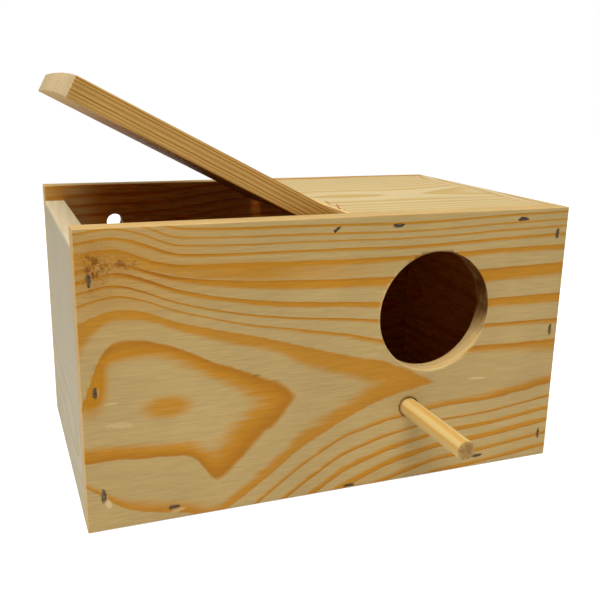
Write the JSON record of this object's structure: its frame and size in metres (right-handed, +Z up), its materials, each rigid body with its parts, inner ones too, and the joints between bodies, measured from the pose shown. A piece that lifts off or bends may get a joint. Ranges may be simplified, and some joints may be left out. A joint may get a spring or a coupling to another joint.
{
  "type": "birdhouse",
  "caption": "Horizontal wooden nest box with a round entrance, a dowel perch and a lid that turns on two pins over the nest end.",
  "frame": {"origin": "centre of the underside of the box", "axes": "+X to the right along the front, +Y from the front to the back, +Z up; the entrance and the perch face -Y and the lid is over the -X end"},
  "size_m": [0.21, 0.177, 0.1694],
  "materials": {
    "pine_board": "planed, untreated, satin",
    "lid_pine": "planed, untreated, satin",
    "dowel": "turned, untreated, satin",
    "fastener_steel": "dull, driven under the face"
  },
  "bodies": {
    "box": {"front_board": "pine_board", "back_board": "pine_board", "left_side_board": "pine_board", "right_side_board": "pine_board", "floor_board": "pine_board", "roof_board": "pine_board", "perch_dowel": "dowel", "hinge_pin_front": "fastener_steel", "hinge_pin_back": "fastener_steel", "front_staple_1": "fastener_steel", "front_staple_2": "fastener_steel", "front_staple_3": "fastener_steel", "front_staple_4": "fastener_steel", "front_staple_5": "fastener_steel", "front_staple_6": "fastener_steel", "front_staple_7": "fastener_steel", "front_staple_8": "fastener_steel", "front_staple_9": "fastener_steel", "front_staple_10": "fastener_steel", "front_staple_11": "fastener_steel", "back_staple_1": "fastener_steel", "back_staple_2": "fastener_steel", "back_staple_3": "fastener_steel", "back_staple_4": "fastener_steel", "back_staple_5": "fastener_steel", "back_staple_6": "fastener_steel", "back_staple_7": "fastener_steel", "back_staple_8": "fastener_steel", "back_staple_9": "fastener_steel", "back_staple_10": "fastener_steel"},
    "lid": {"hinged_lid": "lid_pine"}
  },
  "joints": [
    {"name": "lid_hinge", "type": "hinge", "parent": "box", "child": "lid", "pos_m": [-0.0053, 0, 0.1121], "axis": [0, 1, 0], "range_deg": [-27.3, 67.5]}
  ]
}
